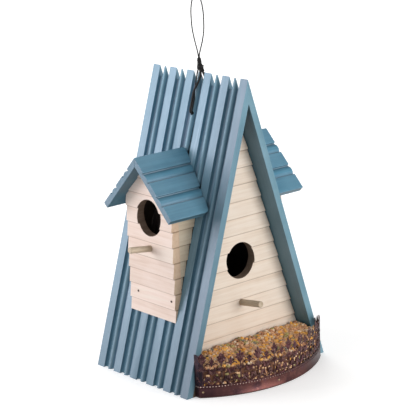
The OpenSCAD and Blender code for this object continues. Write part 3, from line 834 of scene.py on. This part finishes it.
def filigree_unit(work, s, half, low, rng):
    """One repeat: scrolls and small flowers, a ribbed fan, and a rosette at the crown."""
    jig = lambda amount: rng.uniform(-amount, amount)
    for side in (-1, 1):
        at = lambda along, up: (s + side * along, low + up)
        scroll = [at(half, 0.4), at(6.4, 2.0), at(5.0, 4.4), at(2.4, 4.6), at(0.2, 1.6)]
        work.stroke(scroll, [0.9, 1.3, 1.3, 1.0, 0.7])
        work.leaf(at(1.2, 3.2), at(3.4, 9.6 + jig(0.4)), 1.9, -0.2 * side)
        work.leaf(at(8.9, 3.4), at(7.6, 9.8 + jig(0.4)), 1.8, 0.2 * side)
        work.flower(*at(5.7, 7.9), 2.1, 5, jig(0.8), 0.1)
        work.stroke([at(half, 11.0), at(6.8, 12.8), at(4.2, 11.6)], [0.8, 1.2, 0.7])
        work.leaf(at(half, 12.5), at(6.4, 18.4 + jig(0.4)), 2.0, 0.2 * side)
        work.leaf(at(0.4, 21.5), at(4.6, 26.6 + jig(0.4)), 2.3, 0.2 * side)
        work.stroke([at(3.0, 20.6), at(6.0, 22.4), at(half, 20.4)], [0.8, 1.2, 0.8])
        work.leaf(at(half - 0.2, 21.0), at(6.9, 26.0 + jig(0.6)), 1.8, -0.1 * side)
        work.ball(*at(3.4, 15.4), 0.7)
        work.ball(*at(7.6, 24.4), 0.7)
    for k in range(-3, 4):
        angle = math.pi / 2 + k * 0.36
        foot = (s + 1.6 * math.cos(angle), low + 13.4 + 1.6 * math.sin(angle))
        tip = (s + 5.8 * math.cos(angle), low + 13.4 + 6.4 * math.sin(angle))
        work.stroke([foot, tip], [0.6, 0.85, 1.25, 0.5], 1.1, 0.1)
    work.stroke([(s, low), (s + 0.3, low + 13), (s, low + 26)], [0.9, 1.1, 0.9])
    work.flower(s, low + 27.6, 4.8 + jig(0.3), 7, jig(0.4), 0.3)
    work.leaf((s, low + 30.2), (s + jig(0.3), low + 33.4 + jig(0.4)), 2.6)
    work.flower(s + half, low + 15.4, 1.9, 5, jig(0.8), 0.1)
    work.leaf((s + half, low + 19), (s + half + jig(0.3), low + 28.6 + jig(0.8)), 3.0)


def make_gallery():
    """The pierced strip above the rim, in cast-looking filigree between two plain ends."""
    work = Filigree()
    rng = random.Random(7)
    low = GALLERY_FOOT / MM
    half = STRIP_HALF / MM
    units = 10
    pitch = 2 * half / units
    turns = np.linspace(0, math.tau, 9)[:-1]
    rail = [(-0.4 + 0.4 * math.cos(a), low + 0.45 + 0.45 * math.sin(a)) for a in turns]
    work.add(*swept_profile(rail, strip_stations()))
    for i in range(units):
        filigree_unit(work, -half + (i + 0.5) * pitch, pitch / 2, low, rng)
    plain = STRIP_HALF - ARC_HALF
    work.plate(-STRIP_HALF, -ARC_HALF, low, low + 31)
    work.plate(-ARC_HALF + 0.1 * MM, -ARC_HALF + 4.5 * MM, low, low + 30)
    work.plate(ARC_HALF, STRIP_HALF, low, low + 23)
    s = (ARC_HALF + plain * 0.5) / MM
    work.leaf((s, low + 21), (s, low + 31.5), 2.4)
    mesh = work.mesh("tray_gallery_filigree", 60)
    cast = aged_copper("filigree_copper", (0.092, 0.030, 0.034), (0.022, 0.008, 0.012), (0.060, 0.029, 0.048),
                       (0.46, 0.29, 0.23), 3.0, 0.3, 0.42, 0.5)
    # Near-black copper for the plain ends, where the strip turns back: painted shade
    dark = aged_copper("end_shade_copper", (0.035, 0.018, 0.028), (0.014, 0.009, 0.014), (0.03, 0.02, 0.035),
                       (0.10, 0.06, 0.07), 4.0, 0.45)
    gallery = add_object("tray_gallery_filigree", mesh, materials=[cast, dark])
    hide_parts("tray_gallery")


# ---------- seed ----------

# Half the tray's width between the roof boards, where the seed lies
SEED_HALF_W = (RIDGE_Z - SEED_TOP) * math.tan(LEAN) - ROOF_T / math.cos(LEAN)

# name: (share on top, share behind the strip, length, width, depth in mm, pointedness, pale, dark)
GRAINS = {
    "millet": (0.30, 0.28, 2.9, 2.6, 2.3, 0.0, (0.90, 0.60, 0.35), (0.72, 0.42, 0.22)),
    "milo": (0.22, 0.15, 4.1, 3.7, 3.0, 0.1, (0.78, 0.43, 0.24), (0.42, 0.19, 0.10)),
    "corn": (0.12, 0.08, 5.6, 4.4, 2.9, 0.25, (0.95, 0.52, 0.12), (0.76, 0.34, 0.07)),
    "wheat": (0.21, 0.25, 5.8, 2.8, 2.4, 0.35, (0.82, 0.54, 0.32), (0.50, 0.28, 0.15)),
    "safflower": (0.10, 0.20, 5.2, 3.0, 2.5, 0.5, (0.90, 0.74, 0.56), (0.72, 0.54, 0.38)),
    "pea": (0.03, 0.03, 4.8, 4.7, 4.4, 0.0, (0.50, 0.40, 0.15), (0.24, 0.19, 0.09)),
    "sunflower": (0.02, 0.01, 8.0, 4.0, 2.6, 0.6, (0.085, 0.06, 0.05), (0.03, 0.022, 0.02)),
}


def grain_materials():
    skins = []
    for name, (*_, pale, dark) in GRAINS.items():
        striped = name == "sunflower"
        skins.append(seed_skin(f"{name}_skin", pale, dark, 300 if striped else 500, striped))
    return skins


def in_tray(x, y, inset):
    """True where the tray is at least that far inside the strip, the roof boards and the front wall."""
    if y > WALL_FRONT - inset:
        return False
    if y > ROOF_FRONT:
        return abs(x) < SEED_HALF_W - inset
    beyond = math.hypot(x, y - TRAY_CENTRE_Y)
    return abs(x) < TRAY_HALF_W - inset and beyond < TRAY_R - inset


def heap_height(x, y):
    """The top of the heap: level by the wall, lower towards the gallery, and lumpy."""
    edge = TRAY_R - math.hypot(x, y - TRAY_CENTRE_Y)
    fall = 8 * MM * math.exp(-max(edge, 0) / (9 * MM))
    lumps = noise.noise(Vector((x, y, 0)) * 60) * 2.0 * MM + noise.noise(Vector((x, y, 1)) * 170) * 0.9 * MM
    return SEED_TOP + 0.6 * MM - fall + lumps


def make_heap_core():
    """The closed body of the heap under the loose grains."""
    columns, rows = 56, 24
    inset = 1.6 * MM
    top, foot = [], []
    for i in range(columns + 1):
        u = i / columns * 2 - 1
        for j in range(rows + 1):
            v = j / rows
            x = u * (TRAY_HALF_W - inset)
            y_low = max(TRAY_CENTRE_Y - math.sqrt((TRAY_R - inset) ** 2 - x ** 2), TRAY_FRONT + inset)
            y_high = WALL_FRONT - inset if abs(x) < SEED_HALF_W - inset else ROOF_FRONT - 0.5 * MM
            y_high = max(y_high, y_low + 0.4 * MM)
            y = y_low + v * (y_high - y_low)
            top.append((x, y, heap_height(x, y) - 1.4 * MM))
            foot.append((x, y, BASE_TOP))
    count = len(top)
    at = lambda i, j: i * (rows + 1) + j
    faces = []
    for i in range(columns):
        for j in range(rows):
            square = [at(i, j), at(i + 1, j), at(i + 1, j + 1), at(i, j + 1)]
            faces += [square, [k + count for k in square[::-1]]]
    border = [at(i, 0) for i in range(columns + 1)] + [at(columns, j) for j in range(1, rows + 1)]
    border += [at(i, rows) for i in range(columns - 1, -1, -1)] + [at(0, j) for j in range(rows - 1, 0, -1)]
    for a, b in zip(border, border[1:] + border[:1]):
        faces.append([b, a, a + count, b + count])
    mesh = mesh_of("seed_heap_core", top + foot, faces, 50)
    # Dark reddish brown: painted shade in the gaps between the loose grains
    dark = seed_skin("heap_shade", (0.17, 0.070, 0.036), (0.07, 0.026, 0.015), 420)
    core = add_object("seed_heap_core", mesh, materials=[dark])
    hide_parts("seed_fill")


def grain_shapes():
    ball = bmesh.new()
    bmesh.ops.create_icosphere(ball, subdivisions=2, radius=1)
    points = np.array([v.co[:] for v in ball.verts])
    faces = [[v.index for v in f.verts] for f in ball.faces]
    ball.free()
    shapes = []
    for _, _, length, width, depth, pointed, *_ in GRAINS.values():
        taper = 1 - pointed * np.maximum(points[:, 0], 0) ** 2
        shape = points.copy()
        shape[:, 0] *= length / 2
        shape[:, 1] *= width / 2 * taper
        shape[:, 2] *= depth / 2 * taper
        shapes.append(shape * MM)
    return shapes, faces


def make_grains():
    """Loose grains in two layers over the heap, and more behind the filigree."""
    rng = random.Random(11)
    shapes, faces = grain_shapes()
    on_top, behind = ([g[k] for g in GRAINS.values()] for k in (0, 1))
    heap = Heap()
    # Where the heap is rich in corn, and the shares there
    rich = [share * (2.2 if name == "corn" else 1) for name, share in zip(GRAINS, on_top)]
    reach = [1.22 * np.linalg.norm(shape, axis=1).max() for shape in shapes]

    def pick(shares):
        return rng.choices(range(len(shapes)), shares)[0]

    def lay(kind, x, y, z, tilt):
        turn = Matrix.Rotation(rng.uniform(0, math.tau), 3, "Z")
        turn = turn @ Matrix.Rotation(rng.uniform(-tilt, tilt), 3, "Y")
        turn = np.array(turn @ Matrix.Rotation(rng.uniform(0, math.tau), 3, "X"))
        heap.add(shapes[kind] * rng.uniform(0.95, 1.22) @ turn.T + (x, y, z), faces, kind)

    step = 3.1 * MM
    for layer, sink in enumerate((1.5, 0.3)):
        for i in range(-28, 29):
            for j in range(20):
                x = i * step + rng.uniform(-0.5, 0.5) * step
                y = TRAY_FRONT + (j + layer * 0.5) * step + rng.uniform(-0.5, 0.5) * step
                kind = pick(rich if noise.noise(Vector((x, y, 3)) * 55) > 0.2 else on_top)
                if in_tray(x, y, max(2.2 * MM, reach[kind])):
                    lay(kind, x, y, heap_height(x, y) - sink * MM + rng.uniform(-0.3, 0.4) * MM, 0.6)
    for i in range(int(2 * ARC_HALF / step)):
        for j in range(7):
            s = -ARC_HALF + (i + rng.random()) * step
            z = BASE_TOP + (j + 0.7 + rng.random() * 0.5) * step
            kind = pick(behind)
            x, y, _ = on_strip(s, z, -reach[kind] - rng.uniform(0.2, 0.7) * MM)
            wanted = rng.random() < (0.95 if j < 4 else 0.6)
            if wanted and z < heap_height(x, y) - 0.5 * MM and abs(x) < TRAY_HALF_W - 3 * MM:
                lay(kind, x, y, z, 1.5)
    grains = add_object("seed_grains", heap.mesh("seed_grains"), materials=grain_materials())


# ---------- hanger ----------

# The free loop's route, along the ridge and up, as in the CAD model
LOOP_ROUTE = [
    (0.0008, 0.3156), (0.0012, 0.318), (0.0024, 0.322), (0.0042, 0.327), (0.0062, 0.333), (0.0078, 0.339),
    (0.0088, 0.345), (0.0093, 0.351), (0.0093, 0.357), (0.0087, 0.363), (0.0072, 0.369), (0.005, 0.3734),
    (0.0026, 0.376), (0.0, 0.3768), (-0.0026, 0.376), (-0.005, 0.3734), (-0.0072, 0.369), (-0.0087, 0.363),
    (-0.0094, 0.357), (-0.0096, 0.351), (-0.0094, 0.345), (-0.0086, 0.339), (-0.007, 0.333), (-0.0049, 0.327),
    (-0.0028, 0.322), (-0.0013, 0.318), (-0.0008, 0.3156),
]
# The sling's route, across the house and up, from the knot to the hole and on through the attic
SLING_ROUTE = [
    (0.0010, 0.3022), (0.0016, 0.2995), (0.0026, 0.2966), (0.0046, 0.290), (0.0071, 0.2816), (0.0096, 0.2734),
    (0.0120, 0.2664), (0.0131, 0.2632), (0.0129, 0.2613), (0.0120, 0.2603), (0.0102, 0.2596), (0.008, 0.2589),
    (0.0054, 0.2581), (0.0028, 0.2575), (0.0, 0.2572),
]
# How far back from the ridge's middle the two strands of the sling lie at those points
SLING_BACK = {
    "aft": (0.6, 1.0, 0.9, 0.5, -0.2, -1.3, -1.3) + 8 * (-1.1,),
    "fore": (-2.2, -3.6, -4.3, -3.5, -0.9, 0.4) + 9 * (0.7,),
}
# How far the fore strand stands off the roof where it crosses the other one
CROSSING_LIFT = (0, 0, 0, 0.8, 1.8, 0.8) + 9 * (0,)
CORD_D = 1.3 * MM
SLING_D = {"aft": 1.5 * MM, "fore": 2.4 * MM}


def make_loop():
    """The free cord, pulled up into a loop above the knot."""
    route = smooth_route([(0, MID_Y + y, z) for y, z in LOOP_ROUTE], 6)
    points, faces = rope(route, CORD_D, 3.2 * MM)
    loop = add_object("hanger_cord_loop", mesh_of("hanger_cord_loop", points, faces), materials=[CORD])
    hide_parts("hanger_loop")


def make_sling():
    """Two strands on each side of the ridge, through the holes and joined in the attic."""
    strands = Heap()
    for strand, back in SLING_BACK.items():
        lift = CROSSING_LIFT if strand == "fore" else [0] * len(back)
        half = [(-x - up * MM, MID_Y + b * MM, z) for (x, z), b, up in zip(SLING_ROUTE, back, lift)]
        other = [(-x, y, z) for x, y, z in half[-2::-1]]
        points, faces = rope(smooth_route(half + other, 5), SLING_D[strand], 3.4 * MM)
        strands.add(points, faces)
    sling = add_object("hanger_cord_sling", strands.mesh("hanger_cord_sling"), materials=[CORD])
    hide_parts("hanger_sling")


def make_knot():
    """The cord wound round its own strands above the ridge, fuller at the foot."""
    low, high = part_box("hanger_knot")
    knot = Heap()
    turns, steps = 7, 18
    wound = []
    for i in range(turns * steps + 1):
        t = i / (turns * steps)
        a = math.tau * turns * t
        radius = (2.7 - 1.7 * t ** 0.9 + 0.2 * math.sin(9 * t)) * MM
        z = low.z + 1.9 * MM + t * (high.z - low.z - 4.4 * MM)
        back = (-0.2 - 1.6 * (1 - t) ** 1.3) * MM
        wound.append((radius * math.cos(a), MID_Y + back + radius * math.sin(a), z + 0.5 * MM * math.sin(a)))
    knot.add(*rope(smooth_route(wound, 1), 1.75 * MM, 3.2 * MM))
    for tilt, size, back, up in ((0.8, 2.2, -3.2, 1.8), (-0.4, 2.6, -2.0, 4.4)):
        ring = []
        for i in range(25):
            a = math.tau * i / 24
            y, z = size * MM * math.sin(a), tilt * size * MM * math.sin(a)
            ring.append((size * MM * 0.95 * math.cos(a), MID_Y + back * MM + y, low.z + up * MM + z))
        knot.add(*rope(smooth_route(ring, 2), 1.7 * MM, 3.2 * MM))
    core = [
        (0, MID_Y - 3.2 * MM, low.z + 0.2 * MM), (0, MID_Y - 1.4 * MM, low.z + 3 * MM),
        (0, MID_Y - 0.6 * MM, (low.z + high.z) / 2), (0, MID_Y, high.z + 0.6 * MM)
    ]
    knot.add(*rope(smooth_route(core, 8), 2.4 * MM, 4 * MM))
    piece = add_object("hanger_knot_wraps", knot.mesh("hanger_knot_wraps"), materials=[CORD])
    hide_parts("hanger_knot")
    return piece


# ---------- studio ----------

def area_light(name, place, target, size, power, colour=(1, 1, 1)):
    data = bpy.data.lights.new(name, "AREA")
    data.shape = "RECTANGLE"
    data.size, data.size_y = size
    data.energy = power
    data.color = colour
    lamp = new_object(name, data)
    lamp.location = place
    lamp.rotation_euler = (Vector(target) - Vector(place)).to_track_quat("-Z", "Y").to_euler()


def make_studio():
    scene = bpy.context.scene
    scene.view_settings.view_transform = "Standard"
    world = bpy.data.worlds.new("studio")
    scene.world = world
    world.use_nodes = True
    world.node_tree.nodes["Background"].inputs["Color"].default_value = (1, 1, 1, 1)
    world.node_tree.nodes["Background"].inputs["Strength"].default_value = 0.38
    middle = (0, 0, 0.15)
    area_light("key", (-1.15, 1.05, 0.5), middle, (1.0, 0.9), 17, (1.0, 0.975, 1.0))
    area_light("side", (-1.9, -0.2, 0.35), middle, (1.2, 1.0), 8, (1.0, 0.98, 0.98))
    area_light("fill", (0.5, -1.85, 0.5), middle, (1.2, 1.0), 26, (1.0, 0.99, 0.97))
    area_light("behind", (0.9, 2.0, 1.6), (0.8, 1.2, 0), (1.6, 1.2), 22)
    floor = bpy.data.meshes.new("floor")
    reach = 30.0
    corners = [(-reach, -reach, 0), (reach, -reach, 0), (reach, reach, 0), (-reach, reach, 0)]
    floor.from_pydata(corners, [], [(0, 1, 2, 3)])
    plane = new_object("floor", floor)
    r = Recipe("floor", roughness=0.85)
    grey = r.noise(r.place(), 3, 2)
    r.set("Base Color", r.ramp(grey, (0.3, (0.86, 0.86, 0.86)), (0.7, (0.89, 0.89, 0.89))))
    r.set("Emission Color", (1, 1, 1, 1))
    off = r.add("VectorMath", {0: r.place()}, operation="LENGTH", out="Value")
    r.set("Emission Strength", r.level(off, 1.5, 5.0, 0.4, 0.8))
    floor.materials.append(r.material)
    plane.visible_diffuse = False


knot_piece = make_knot()
make_loop()
make_sling()
make_boards()
make_perches()
make_tray_pins()
make_brads()
make_cover_screw()
make_tray_rim()
make_gallery()
make_heap_core()
make_grains()
make_studio()
